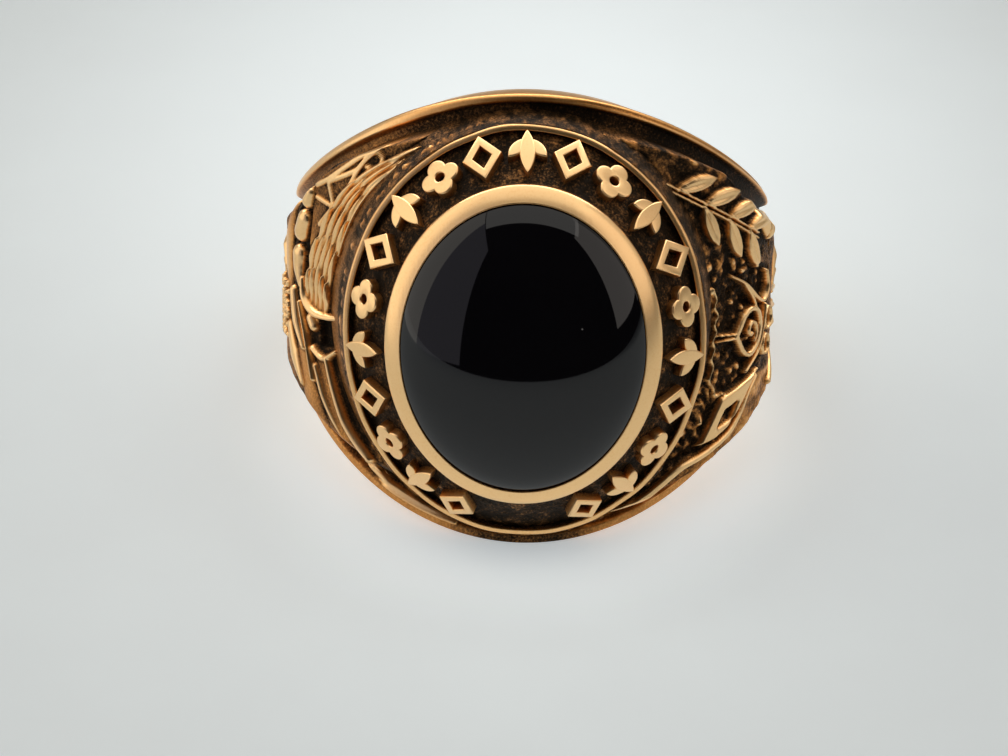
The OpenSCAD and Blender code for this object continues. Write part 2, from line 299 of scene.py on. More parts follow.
def smooth_line(points):
    """A smooth line through points of (degrees round the shoulder, mm along the finger), in mm."""
    p = np.array(points, float) * (mm_per_degree, 1)
    if len(p) == 2:
        return p
    p = np.vstack([2 * p[0] - p[1], p, 2 * p[-1] - p[-2]])
    t = np.linspace(0, 1, 9)[:, None]
    parts = []
    for a, b, c, d in zip(p, p[1:], p[2:], p[3:]):
        bend, twist = 2 * a - 5 * b + 4 * c - d, 3 * b - a - 3 * c + d
        parts.append(0.5 * (2 * b + (c - a) * t + bend * t ** 2 + twist * t ** 3)[:-1])
    return np.vstack(parts + [p[-2:-1]])


# cross-sections of a stroke, by the share of its half width
def domed(x):
    return np.sqrt(np.maximum(1 - x * x, 0))


def flat(x):
    return ease((1 - x) / 0.35)


def keeled(x):
    return 1 - x ** 1.4


def line_field(line, margin):
    """The part of the canvas near a line, with each cell's distance from it and share of the way along."""
    low, high = line.min(0) - margin, line.max(0) + margin
    rows = slice(*np.searchsorted(canvas_round, (low[0], high[0])))
    cols = slice(*np.searchsorted(canvas_along, (low[1], high[1])))
    r, a = ROUND[rows, cols], ALONG[rows, cols]
    best, share = np.full(r.shape, 9e9), np.zeros(r.shape)
    run = np.concatenate([[0], np.cumsum(np.linalg.norm(np.diff(line, axis=0), axis=1))])
    for k in range(len(line) - 1):
        (x, y), (dx, dy) = line[k], line[k + 1] - line[k]
        size = dx * dx + dy * dy + 1e-12
        t = np.clip(((r - x) * dx + (a - y) * dy) / size, 0, 1)
        d = np.hypot(r - x - t * dx, a - y - t * dy)
        near = d < best
        best[near] = d[near]
        share[near] = (run[k] + t[near] * (run[k + 1] - run[k])) / run[-1]
    return (rows, cols), best, share


def stroke(relief, points, widths, heights, section=domed, line=None):
    """Raises a stroke whose width and height change evenly along it."""
    line = smooth_line(points) if line is None else line
    window, d, share = line_field(line, max(widths) / 2 + cell)
    w = np.interp(share, np.linspace(0, 1, len(widths)), widths)
    h = np.interp(share, np.linspace(0, 1, len(heights)), heights)
    x = d / (w / 2)
    part = relief[window]
    part[:] = np.where(x < 1, np.maximum(part, h * section(np.minimum(x, 1))), part)


def inside(corners):
    """Distance inside the edge of a shape with straight sides, and negative outside it, in mm."""
    p = np.array(corners, float) * (mm_per_degree, 1)
    closed = np.vstack([p, p[:1]])
    d, within = np.full(ROUND.shape, 9e9), np.zeros(ROUND.shape, bool)
    for (x, y), (u, v) in zip(closed, closed[1:]):
        t = np.clip(((ROUND - x) * (u - x) + (ALONG - y) * (v - y)) / ((u - x) ** 2 + (v - y) ** 2), 0, 1)
        d = np.minimum(d, np.hypot(ROUND - x - t * (u - x), ALONG - y - t * (v - y)))
        crossing = ((y > ALONG) != (v > ALONG)) & (ROUND < (u - x) * (ALONG - y) / (v - y + 1e-12) + x)
        within ^= crossing
    return np.where(within, d, -d)


def plate(relief, corners, height, hole_corners=None):
    """Raises a flat plate with eased edges, open in the middle where a hole is given."""
    d = inside(corners)
    if hole_corners is not None:
        d = np.minimum(d, -inside(hole_corners))
    relief[:] = np.where(d > 0, np.maximum(relief, height * ease(d / 0.1)), relief)


def pit(relief, corners, depth):
    relief -= depth * ease(inside(corners) / 0.16 + 0.5)


def lozenge(middle, half_round, half_along, turn):
    """Corners of a lozenge round a middle of (degrees, mm), its half sizes in mm and its turn in degrees."""
    c, s = math.cos(math.radians(turn)), math.sin(math.radians(turn))
    out = []
    for x, y in ((half_round, 0), (0, half_along), (-half_round, 0), (0, -half_along)):
        out.append((middle[0] + (x * c - y * s) / mm_per_degree, middle[1] + x * s + y * c))
    return out


def outside(line):
    """1 on the palm's side of a line of (degrees, mm), and 0 on the head's side."""
    degrees, place = np.array(line[::-1]).T
    return ease((np.interp(ROUND / mm_per_degree, degrees, place) - ALONG) / 0.2)


def ground():
    """Cast ground: soft unevenness about 0.5 mm across, and grain."""
    rough = soften(dice.standard_normal(ROUND.shape), 0.22)
    fine = soften(dice.standard_normal(ROUND.shape), 0.045)
    return 0.02 * rough / rough.std() + 0.008 * fine / fine.std()


def lower_side(relief):
    """The lower part of both shoulders, towards the shank: a fan of leaves under a border."""
    for lean in (-2, -1, 0, 1, 2):
        start, end = (80, 0.35 * lean), (96 - abs(lean) * 3, 0.95 * lean)
        stroke(relief, [start, ((start[0] + end[0]) / 2, 0.78 * lean), end], (0.25, 0.62, 0.12),
               (0.2, 0.32, 0.12), keeled)
    for end in (-1, 1):
        stroke(relief, [(72, 3.6 * end), (82, 2.7 * end), (94, 2.3 * end)], (0.3, 0.3, 0.2),
               (0.22, 0.22, 0.1), domed)


# left shoulder: a feathered wing beside the crown
wing_line = [(49, -0.1), (47, 1.4), (43, 2.7), (39, 3.8), (34, 4.8), (27, 5.75), (18, 6.6), (9, 7.35)]
wing_width = (1.6, 1.55, 1.45, 1.25, 1.0, 0.7, 0.45, 0.15)
wing_middle = smooth_line(wing_line)
left = ground()
relief = left
stroke(relief, wing_line, wing_width, (0.14,) * 8, flat)
wing_run = np.linspace(0, 1, len(wing_middle))
wing_across = np.gradient(wing_middle, axis=0)
wing_across = np.stack([-wing_across[:, 1], wing_across[:, 0]], 1)
wing_across /= np.linalg.norm(wing_across, axis=1)[:, None]
# rows of feathers: share of the wing where they start and end, feathers in the row
feather_rows = [(0.74, 1.0, 2), (0.56, 0.86, 3), (0.4, 0.7, 4), (0.24, 0.54, 4), (0.1, 0.36, 5),
                (-0.04, 0.2, 5)]
for start, end, count in feather_rows:
    for k in range(count):
        q = (k - (count - 1) / 2) / (count / 2)
        tip = end - 0.06 * abs(q) - dice.uniform(0, 0.04)
        t = np.clip(np.linspace(start, tip, 14), 0, 1)
        middle = np.stack([np.interp(t, wing_run, wing_middle[:, j]) for j in (0, 1)], 1)
        aside = np.stack([np.interp(t, wing_run, wing_across[:, j]) for j in (0, 1)], 1)
        reach = np.interp(t, np.linspace(0, 1, 8), wing_width)[:, None] / 2
        wide = float(reach.mean()) * 2 / count * 1.08
        low, high = 0.16, dice.uniform(0.31, 0.36)
        stroke(relief, None, (wide * 0.9, wide, wide, wide * 0.8, 0.07),
               (low, low + 0.03, high - 0.03, high, high), domed, line=middle + aside * q * reach)
# the wing's thick lower hem
stroke(relief, [(55.5, 0.9), (54.5, 0.25), (52, -0.15), (48, -0.38), (43, -0.4), (38.5, -0.3)],
       (0.28, 0.36, 0.44, 0.44, 0.4, 0.26), (0.3, 0.36, 0.38, 0.38, 0.34, 0.24))
# smooth rib along the wing's inner edge, which runs on beside the crown
stroke(relief, [(38.5, 2.3), (34.5, 3.6), (30, 4.7), (23.5, 5.75), (16, 6.6), (8, 7.3)],
       (0.1, 0.16, 0.2, 0.24, 0.26, 0.24), (0.3, 0.34, 0.34, 0.32, 0.3, 0.26))
# net of flat bars between the wing and the channel, on a low plate
plate(relief, [(52, 4.6), (46, 5.5), (36, 6.3), (24, 7.5), (12, 8.2), (10, 7.6), (24, 6.2), (36, 4.9),
               (46, 3.2), (53, 2.2)], 0.07)
for points in ([(43, 5.25), (37, 5.6), (32, 5.95)], [(32, 5.95), (29, 6.45)], [(32, 5.95), (35, 5.2)],
               [(43, 5.25), (41, 4.3)], [(48, 4.5), (41, 4.25)], [(41, 4.25), (47, 3.4)],
               [(29, 6.45), (26, 6.75), (24, 6.45), (26, 6.1), (29, 6.1)],
               [(48, 5.0), (43, 5.35), (36, 6.0), (28, 6.75), (20, 7.3)]):
    stroke(relief, points, (0.27, 0.27), (0.17, 0.17), flat)
# jointed stem at the side, a smooth leaf outside it and a patch of small grains
pit(relief, [(56, 5.0), (60, 3.0), (61, 0.6), (57.5, 0.4), (54, 1.6), (51.5, 3.4), (49.5, 5.0)], 0.12)
stroke(relief, [(51.4, 4.62), (52.6, 4.24)], (0.62, 0.7), (0.33, 0.35))
stroke(relief, [(54.8, 3.42), (56.6, 2.86)], (0.84, 0.92), (0.35, 0.37))
stroke(relief, [(58, 1.88), (58, 1.3), (56.6, 0.62)], (0.86, 0.74, 0.36), (0.36, 0.34, 0.28))
stroke(relief, [(63, 3.6), (66.5, 2.2), (66, 0.7), (63, -0.2)], (0.5, 1.0, 0.9, 0.3),
       (0.08, 0.15, 0.15, 0.08), domed)
for _ in range(110):
    spot = (dice.uniform(66, 79), dice.uniform(-1.9, 0.4))
    wide = dice.uniform(0.16, 0.3)
    stroke(relief, [spot, (spot[0] + 0.1, spot[1])], (wide, wide), (0.24, 0.24))
# clasp under the wing: a bar, a thin stalk, a knob and a deep recess
pit(relief, [(48, -0.55), (39, -0.5), (39, -1.55), (48, -1.75)], 0.3)
stroke(relief, [(62, 0.2), (59.5, -1.0), (55, -2.0)], (0.5, 0.5, 0.3), (0.3, 0.34, 0.3))
stroke(relief, [(57, -0.1), (53, -1.5), (50, -3.2)], (0.18, 0.26, 0.34), (0.36, 0.38, 0.34), keeled)
stroke(relief, [(51.5, -0.65), (50, -0.95)], (0.5, 0.5), (0.3, 0.3))
stroke(relief, [(50, -1.85), (45, -2.15), (40, -1.75)], (0.28, 0.34, 0.22), (0.34, 0.34, 0.3))
# a long smooth ridge that runs down beside the crown and on over the rim, with low leaves outside it
ridge_line = [(43.5, -2.1), (40.6, -3.3), (37.2, -4.4), (34.6, -4.94), (31.7, -5.4), (28.9, -5.8),
              (27.9, -6.03), (31.6, -6.32), (35.2, -6.62), (34, -6.8), (31.4, -7.0), (28.9, -7.2),
              (26.3, -7.41), (18.3, -7.81), (10.6, -8.15), (4, -8.4)]
stroke(relief, [(47, -2.4), (43, -3.7), (39, -4.8), (32, -6.0), (24, -6.9)], (0.9, 1.3, 1.3, 1.0, 0.5),
       (0.05, 0.06, 0.06, 0.05, 0.03), domed)
stroke(relief, ridge_line, (0.3, 0.4, 0.42, 0.44, 0.46, 0.42, 0.36),
       (0.34, 0.37, 0.37, 0.38, 0.4, 0.4, 0.36), domed)
stroke(relief, [(49.5, -2.6), (45.5, -3.9), (40.5, -4.95), (37.5, -5.45)], (0.24, 0.3, 0.26, 0.12),
       (0.22, 0.22, 0.16, 0.05), domed)
stroke(relief, [(58, -2.0), (54, -3.6), (48, -5.0), (38, -6.2), (26, -7.2)], (0.9, 1.1, 1.0, 0.8, 0.4),
       (0.08, 0.08, 0.05, 0.03, 0.02), domed)
stroke(relief, [(66, -1.4), (62, -2.6), (57, -3.6)], (0.5, 0.8, 0.3), (0.2, 0.24, 0.18), domed)
lower_side(relief)

# right shoulder: a laurel spray at the top, its stem drawn as two thin lines
right = ground()
relief = right
for shift in (-0.1, 0.1):
    stroke(relief, [(20, 5.8 + shift), (33, 4.84 + shift), (44, 4.04 + shift), (56, 3.16 + shift)],
           (0.13, 0.13), (0.3, 0.3), flat)
for k in range(4):
    foot = np.array((24 + 9 * k, 5.5 - 0.656 * k))
    for lean in ((11, -65) if k else (11,)):
        way = np.array((math.cos(math.radians(lean)) / mm_per_degree, math.sin(math.radians(lean))))
        line = [foot + 0.05 * way, foot + 0.95 * way, foot + 1.9 * way]
        stroke(relief, line, (0.1, 0.5, 0.74, 0.76, 0.6, 0.1), (0.35, 0.35), flat)
        vein = np.zeros(ROUND.shape)
        stroke(vein, [foot + 0.35 * way, foot + 1.5 * way], (0.12, 0.09), (0.1, 0.02), domed)
        relief -= vein
# ribbed knuckle at the side
stroke(relief, [(58.5, 3.9), (65, 3.15)], (0.8, 0.86), (0.34, 0.34))
for k in range(3):
    groove = np.zeros(ROUND.shape)
    stroke(groove, [(62.4 + 2.1 * k, 4.1 - 0.25 * k), (63.4 + 2.1 * k, 2.9 - 0.25 * k)], (0.11, 0.11),
           (0.14, 0.14), domed)
    relief -= groove
# recessed field with a wavy border, and the scroll on its stem
field_edge = [(38, 1.3), (39.2, 0.85), (38.6, 0.55), (40, 0.2), (38.9, -0.15), (39.6, -0.5), (38.5, -0.85),
              (39.2, -1.2), (38.2, -1.6), (39, -1.95), (37.8, -2.5), (39.6, -2.9), (40.3, -3.25), (43, -3.2),
              (47, -3.3), (53, -3.05), (60, -2.6)]
pit(relief, [(39, 1.4), (39, -2.9), (43, -3.3), (60, -2.6), (68, -1.6), (68, 1.6), (56, 2.0)], 0.08)
strip = [(58, -2.8), (53.7, -3.48), (49.8, -4.3), (44.9, -4.98), (35.7, -5.64), (28.2, -6.05), (18.1, -7.1),
         (13.8, -7.35), (4, -7.9)]
rough = soften(dice.standard_normal(ROUND.shape), 0.1)
rough *= (1 - outside(strip)) * (1 - 0.6 * ease(ALONG - 2)) * (1 - ease((ROUND / mm_per_degree - 58) / 6))
relief += 0.035 * rough / rough.std() * (1 - ease(relief / 0.2))
# bark-like folds between the crown and the pointed frame
for k in range(26):
    spot = -2.7 - 0.17 * k + dice.uniform(-0.1, 0.1)
    reach_in = 36 - 1.0 * k + dice.uniform(-2, 3)
    long, drop = dice.uniform(2, 7), dice.uniform(0, 0.5)
    stroke(relief, [(reach_in, spot + drop / 2), (reach_in + long / 2, spot), (reach_in + long, spot - drop)],
           (0.06, dice.uniform(0.09, 0.22), 0.05), (0.03, dice.uniform(0.05, 0.13), 0.03), domed)
stroke(relief, field_edge, (0.13, 0.13), (0.24, 0.24), domed)
tip = (47.3, -0.84)
scroll = [tip, (48.8, -0.5), (51, -0.05), (54.5, 0.14), (58, -0.12), (59.2, -0.75), (57.5, -1.42),
          (54, -1.78), (50.8, -1.6), (48.7, -1.18), tip]
stroke(relief, scroll, (0.27, 0.27), (0.35, 0.35), flat)
turns = np.linspace(0, 1, 40)
curl = np.stack([54.4 * mm_per_degree + (0.44 - 0.34 * turns) * np.cos(-1.0 + 6.0 * turns),
                 -0.8 + (0.54 - 0.42 * turns) * np.sin(-1.0 + 6.0 * turns)], 1)
stroke(relief, None, (0.17, 0.22), (0.34, 0.34), flat, line=curl)
for shift in (-0.13, 0.13):
    stroke(relief, [(40, -0.82 + shift), (48, -0.86 + 0.6 * shift)], (0.1, 0.16), (0.26, 0.34), flat)
stroke(relief, [(62.5, 0.1), (61.5, -0.7), (59, -1.7), (53, -2.55)], (0.16, 0.18, 0.18, 0.14),
       (0.34, 0.35, 0.34, 0.26), domed)
for middle, size in (((65, -0.55), 0.36), ((64, -1.65), 0.33)):
    around = np.linspace(0, 2 * math.pi, 17)
    loop = np.stack([middle[0] * mm_per_degree + size * np.cos(around),
                     middle[1] + 1.3 * size * np.sin(around)], 1)
    stroke(relief, None, (0.15, 0.15), (0.33, 0.33), domed, line=loop)
stroke(relief, [(45, 1.7), (51, 1.25), (57, 0.55), (61.5, 0.3), (64, 0.8), (63, 1.5)],
       (0.12, 0.2, 0.24, 0.24, 0.2, 0.14), (0.22, 0.33, 0.35, 0.35, 0.33, 0.3), domed)
stroke(relief, [(51, 1.2), (55, 0.55), (57.5, 0.0)], (0.2, 0.2, 0.16), (0.33, 0.33, 0.3), domed)
# long pointed frame under the scroll, and a strip along its outer side
plate(relief, [(59.5, -2.5), (42, -3.3), (39.8, -3.83), (33.7, -5.28), (40, -5.05), (45, -4.68), (50, -3.98),
               (54, -3.3)], 0.35, [(48.6, -3.66), (43.6, -3.92), (41.2, -4.5), (46.2, -4.28)])
stroke(relief, strip, (0.12, 0.2, 0.26, 0.3, 0.34, 0.36, 0.34, 0.25, 0.2), (0.34, 0.36), flat)
lower_side(relief)


def sample(field, turn, place):
    """The canvas's value at points, given as degrees round the shoulder and mm along the finger."""
    r = np.clip(turn * mm_per_degree / cell, 0, field.shape[0] - 1.001)
    a = np.clip((place - canvas_along[0]) / cell, 0, field.shape[1] - 1.001)
    i, j = r.astype(int), a.astype(int)
    u, v = r - i, a - j
    return ((field[i, j] * (1 - u) + field[i + 1, j] * u) * (1 - v)
            + (field[i, j + 1] * (1 - u) + field[i + 1, j + 1] * u) * v)


def tarnish_of(relief, ground_tone):
    """Antiquing stays in the hollows: it goes by how low a spot is, and how far under its surroundings."""
    hollow = soften(relief, 0.16) - relief
    return np.clip(ground_tone - relief / 0.24 + hollow * 4.5, 0, 1)


def shoulder(name, side, relief):
    """One shoulder: its skin raised by the relief, and closed off under the crown and at the shank."""
    if side < 0:
        # a little lighter on the palm's side of the long ridge, followed here without its fold
        darkness = tarnish_of(relief, 0.78 - 0.16 * outside(ridge_line[:5] + ridge_line[-4:]))
    else:
        darkness = tarnish_of(relief, 0.87 - 0.15 * ease((ALONG - 3.5) / 1.5) - 0.47 * outside(strip))
    inner = np.linspace(-1, 1, 218)[1:-1]
    rows_fine, rows_plain = np.linspace(0, 1, 268), np.linspace(0, 1, 58)[1:]
    w0 = head_half
    v = np.concatenate([-(w0 - steps_in), inner * (w0 - steps_in[-1]), (w0 - steps_in)[::-1]]) / w0
    reach = np.maximum(1 - (v * w0 / (crown_foot[1] - 0.25)) ** 2, 0)
    start = np.degrees(np.arcsin(0.9 * crown_foot[0] / rim_r * np.sqrt(reach)))
    theta = np.vstack([start + (80 - start) * rows_fine[:, None],
                       (80 + (shank_from - 80) * rows_plain)[:, None] + np.zeros_like(v)])
    edge_theta = theta[:, 0]
    w = half_width(theta)
    n = len(steps_in)
    e = np.empty_like(theta)
    e[:, :n], e[:, -n:] = steps_in, steps_in[::-1]
    e[:, n:-n] = w[:, n:-n] - np.abs(inner) * (w[:, n:-n] - steps_in[-1])
    place = np.sign(v) * (w - e)
    # the upper rim is broadest on the left, and narrower over the middle of the head
    upper = ease(place / 2 + 0.5)
    broad = rim_left if side < 0 else rim_right
    rim = rim_low * (1 - upper) + upper * (rim_top + (broad - rim_top) * ease((theta - 4) / 30))
    rounding = edge_r + (0.26 if side < 0 else 0.16) * upper * ease((theta - 12) / 30)
    fade = 1 - ease((theta - 98) / 10)
    r = rim_r - channel_depth * fade * ease((e - rim) / channel_edge)
    under_crown = 1 - ease((theta - 12) / 14)
    if side > 0:
        floor_tone = 0.9 * upper + (1 - upper) * (0.5 + 0.4 * under_crown)
    else:
        floor_tone = 0.46 + 0.3 * upper * (1 - ease((theta - 20) / 20))
    tarnish_and_painted_light = 0.05 + floor_tone * fade * ease((e - rim + 0.02) / 0.12)
    # painted light on the polished rims: brown along the lower rim, a painted reflection; nearly black under
    # the crown, a painted shade; and there the upper rim is a little darker and duller, also painted shade
    brown, black = 0.26 * ease((70 - theta) / 20), 0.45 * (1 - ease((theta - 7) / 13))
    tarnish_and_painted_light = tarnish_and_painted_light + (1 - upper) * (e < rim) * (brown + black)
    tarnish_and_painted_light = tarnish_and_painted_light + 0.14 * upper * (e < rim) * (1 - ease((theta - 20) / 20))
    if side > 0:
        groove = upper * np.exp(-((e - 0.5 * rim) / 0.045) ** 2) * ease((theta - 6) / 10) * fade
        r = r - 0.06 * groove
        tarnish_and_painted_light = tarnish_and_painted_light + 0.4 * groove
    t = np.radians(theta)
    lean = t - shoulder_lean
    panel_r = shoulder_out * np.cos(lean) + np.sqrt(shoulder_r ** 2 - (shoulder_out * np.sin(lean)) ** 2)
    # the panel rises from the channel, steeply beside the crown and gently at the sides
    soft = 0.3 + np.where(place > 0, 1.1 * ease((theta - 42) / 14), 0.8 if side < 0 else 0.0)
    past = e - panel_inset + 0.12
    done = 1 - ease((theta - 84) / 12)
    # towards the palm the ornament runs on over the channel to the rim
    reach_over = np.where(place < 0, e - palm_inset, past)
    body, over = ease(past / soft) * done, ease(reach_over / 0.25) * done
    channel = rim_r - channel_depth
    r = np.where(panel_r > channel, r + (panel_r - channel) * body, r)
    turn = np.degrees(np.arctan2(panel_r * np.sin(t) - shoulder_x, panel_r * np.cos(t) - shoulder_n))
    # the ornament sinks in where the shoulder is widest, so that nothing stands out of the ring's breadth
    raised = (sample(relief, turn, place) - 0.32 * ease((turn - 70) / 14)) * over
    dark_panel = sample(darkness, turn, place)
    bare_side = ease((turn - 62) / 10) * 0.25
    tarnish_and_painted_light = tarnish_and_painted_light * (1 - over) + (dark_panel - bare_side * dark_panel) * over
    drop = rounded_edge(e, rounding)
    r = r - drop
    t = np.maximum(t, 1e-3)
    slope = 0.822 * np.sin(np.minimum(1.6 * t, math.pi)) / (1.6 * np.sin(t))
    place = np.where(v < 0, place + slope * drop, place)
    skin = polar(side, theta, place, r, np.clip(tarnish_and_painted_light, 0, 1))
    skin[..., 0] += side * raised * np.sin(np.radians(turn))
    skin[..., 2] += raised * np.cos(np.radians(turn))
    under = [skin[0]]
    for k in (1, 0.66, 0.33, 0):
        under_place = np.maximum(place[0], -low_end(k * start, deep_r))
        under.append(polar(side, k * start, under_place, deep_r, 0.5))
    under = np.stack(under)
    sheets = [skin] + edge_and_bore(side, edge_theta, skin)
    _, low, high, bore = (s[0] for s in sheets)
    head_ring = np.concatenate([under[-1], high[2:], bore[::-1][1:], low[::-1][1:-2]])
    made = cast(name, sheets + [under], [head_ring, end_ring(sheets, -1)],
                lambda p: (np.abs(np.degrees(np.arctan2(np.abs(p[:, 0]), p[:, 2])) - shank_from) < 1e-3)
                | (np.abs(p[:, 0]) < 1e-6))
    made.data.materials.append(gold)
    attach(made, "root")
    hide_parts("ring")


shoulder("shoulder_left", -1, left)
shoulder("shoulder_right", 1, right)

# Crown
# The oval setting on the head: a grainy wall up to a thin bright lip, a sloped band on a dark grainy
# ground, and the polished bezel that is pressed over the stone. It is one casting with the shoulders.
lip_half, lip_n, lip_t = (7.13, 8.33), 11.7, 0.28
band_foot_n, band_top_n = 11.35, 13.1
bezel_half, bezel_edge_n, bezel_top_n, bezel_face = (5.35, 6.35), 13.5, 13.95, 0.65
stone_half, girdle_n, dome_h, girdle_h = (5.0, 6.0), 13.15, 2.25, 0.7
around = np.radians(np.linspace(0, 360, 721))
around_c, around_s = np.cos(around), np.sin(around)
# the crown's underside, inside the casting: its least height and its least distance from the hole's axis
base_n, base_r = 7.6, 8.95
wall_rows = 34
band_rows = 36


def wrapped_noise(rows, cols, tall, wide, seed):
    """Noise on a grid that joins up at its two ends, with grains of so many rows and columns."""
    field = np.random.default_rng(seed).standard_normal((rows, cols))
    f, g = np.fft.fftfreq(rows), np.fft.fftfreq(cols)
    fall = np.exp(-2 * math.pi ** 2 * ((tall * f[:, None]) ** 2 + (wide * g[None, :]) ** 2))
    field = np.fft.ifft2(np.fft.fft2(field) * fall).real
    return np.concatenate([field, field[:, :1]], 1) / field.std()


def hoop_row(offset, n, tarnish_and_painted_light, half=lip_half):
    """One oval of the crown's section, so far outside a half size, at a height."""
    x, y = (half[0] + offset) * around_c, (half[1] + offset) * around_s
    return np.stack(np.broadcast_arrays(x, y, n, tarnish_and_painted_light), -1)


foot_x = np.abs((lip_half[0] + 0.3 + np.where(around_c < 0, 0.45, 0.05) * around_c ** 2) * around_c)
channel_n = np.sqrt((rim_r - channel_depth) ** 2 - foot_x ** 2)
shoulder_top = shoulder_n + np.sqrt(shoulder_r ** 2 - (foot_x - shoulder_x) ** 2)
wall_foot = channel_n + (shoulder_top - channel_n) * ease((foot_x - 2.8) / 1.0) - 0.05
spread = 0.3 + np.where(around_c < 0, 0.5, 0.06) * around_c ** 2
sideways = around_c ** 2
lower_right = ease(-around_s * 2) * ease(around_c * 3)
grain_wall = 0.7 * wrapped_noise(wall_rows, 720, 2.6, 0.9, 3) + 0.5 * wrapped_noise(wall_rows, 720, 7, 2.4, 4)
bark = wrapped_noise(wall_rows, 720, 9, 1.6, 5)
speck = wrapped_noise(1, 720, 0, 1.0, 6)[0]
rows = []
bottom_n = np.maximum(np.sqrt(deep_r ** 2 - np.minimum(foot_x, 9) ** 2), base_n)
bottom_n = np.minimum(bottom_n, wall_foot - 0.12)
rows.append(hoop_row(spread, bottom_n, 0.9))
for k, f in enumerate(np.linspace(1, 0.06, wall_rows)):
    n = lip_n - f * (lip_n - wall_foot)
    bead = np.exp(-((f - 0.42 - 0.03 * speck) / 0.06) ** 2) * ease(-around_c * 2) * ease(speck + 0.6)
    swell = 0.022 * grain_wall[k] * (1 - lower_right) + (0.05 * bark[k] + 0.01 * grain_wall[k]) * lower_right
    fringe = ease((1 - f) / 0.12)
    ochre = ease((f - 0.62) / 0.12) * sideways * (around_c < 0)
    dark_wall = 0.82 - 0.36 * ochre - 0.12 * grain_wall[k] * (1 - ochre) - 0.6 * bead
    offset = spread * f ** 1.7 + (swell + 0.06 * bead) * fringe * ease(f / 0.12)
    rows.append(hoop_row(offset, n, np.clip(dark_wall, 0, 1)))
wave = 0.018 * wrapped_noise(1, 720, 0, 9, 7)[0]
for offset, drop, shade in ((0, 0.17, 0.3), (-0.006, 0.12, 0.14), (-0.02, 0.08, 0.1), (-0.045, 0.053, 0.08),
                            (-0.08, 0.036, 0.08), (-0.12, 0.022, 0.08), (-0.17, 0.008, 0.08),
                            (-0.21, 0, 0.1), (-0.235, 0.014, 0.2), (-0.252, 0.06, 0.45), (-0.265, 0.15, 0.7),
                            (-0.28, 0.32, 0.95)):
    rows.append(hoop_row(offset + wave, lip_n - drop, shade))
grain_band = 0.6 * wrapped_noise(band_rows, 720, 1.0, 1.1, 8) + 0.6 * wrapped_noise(band_rows, 720, 3, 3.4, 9)
lip_inner = (lip_half[0] - lip_t, lip_half[1] - lip_t)
for k, g in enumerate(np.linspace(0.02, 1, band_rows)):
    half = [lip_inner[j] + g * (bezel_half[j] - lip_inner[j]) for j in (0, 1)]
    n = band_foot_n + g * (band_top_n - band_foot_n)
    swell = 0.02 * grain_band[k] * ease(g / 0.06) * ease((1 - g) / 0.06)
    rows.append(hoop_row(0.7 * swell, n + 0.7 * swell, np.clip(0.93 - 0.12 * grain_band[k], 0, 1), half))
face = (bezel_top_n - bezel_edge_n) / bezel_face
for offset, n, shade in ((0, 13.25, 0.85), (0, 13.36, 0.4), (0, bezel_edge_n - 0.07, 0.12),
                         (-0.012, bezel_edge_n - 0.03, 0.02), (-0.04, bezel_edge_n + 0.012, 0.0),
                         (-0.09, bezel_edge_n + 0.09 * face, 0.0)):
    rows.append(hoop_row(offset, n, shade, bezel_half))
for s in np.linspace(0.2, 0.9, 9):
    bulge = 0.03 * math.sin(math.pi * s)
    rows.append(hoop_row(-s * bezel_face, bezel_edge_n + s * bezel_face * face + bulge, 0.0, bezel_half))
for offset, n, shade in ((-0.61, 13.93, 0.0), (-0.64, 13.92, 0.3), (-0.655, 13.88, 0.8), (-0.66, 13.82, 1.0),
                         (-0.66, 13.6, 1.0), (-0.4, 13.3, 1.0), (-0.3, 13.1, 1.0), (-0.3, 12.4, 1.0)):
    rows.append(hoop_row(offset, n, shade, bezel_half))
for k in (0.6, 0.25, 0.0):
    rows.append(hoop_row(0, 12.4, 1.0, (5.05 * k, 6.05 * k)))
top = np.stack(rows)
under = []
for k in np.linspace(1, 0, 9):
    ring = top[0].copy()
    ring[:, :2] *= k
    if k < 1:
        ring[:, 2] = np.maximum(np.sqrt(deep_r ** 2 - np.minimum(np.abs(ring[:, 0]), 9) ** 2), base_n)
        ring[:, 2] = np.minimum(ring[:, 2], k * top[0][:, 2] + (1 - k) * deep_r)
        ring[:, 2] = np.maximum(ring[:, 2], np.sqrt(np.maximum(base_r ** 2 - ring[:, 0] ** 2, 0)))
    under.append(ring)
crown = cast("crown", [top, np.stack(under)])
crown.data.materials.append(gold)
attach(crown, "root")
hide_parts("ring")

# Raised marks on the band
# A row of leaf sprigs, lozenge frames and four-petalled flowers, cast with the crown. Their tops are
# polished flat and bright against the dark ground of the band.
mark_places, mark_gap, mark_h, mark_l = 23, 2, 0.32, 2.05
mark_edge = 0.07
band_slope = math.atan(1.75 / 1.6)


def pointed_leaf(length, width, middle=(0, 0), turn=0):
    """Outline of the part that two circles share, its tips along Y."""
    r = (length ** 2 + width ** 2) / (4 * width)
    reach = math.asin(length / 2 / r)
    angles = np.linspace(-reach, reach, 15)
    right_side = np.stack([r * np.cos(angles) - (r - width / 2), r * np.sin(angles)], 1)
    shape = np.vstack([right_side, -right_side[1:-1]])
    c, s = math.cos(math.radians(turn)), math.sin(math.radians(turn))
    return shape @ np.array([[c, s], [-s, c]]) + middle


def diamond(length, width):
    return np.array([(width / 2, 0), (0, length / 2), (-width / 2, 0), (0, -length / 2)])


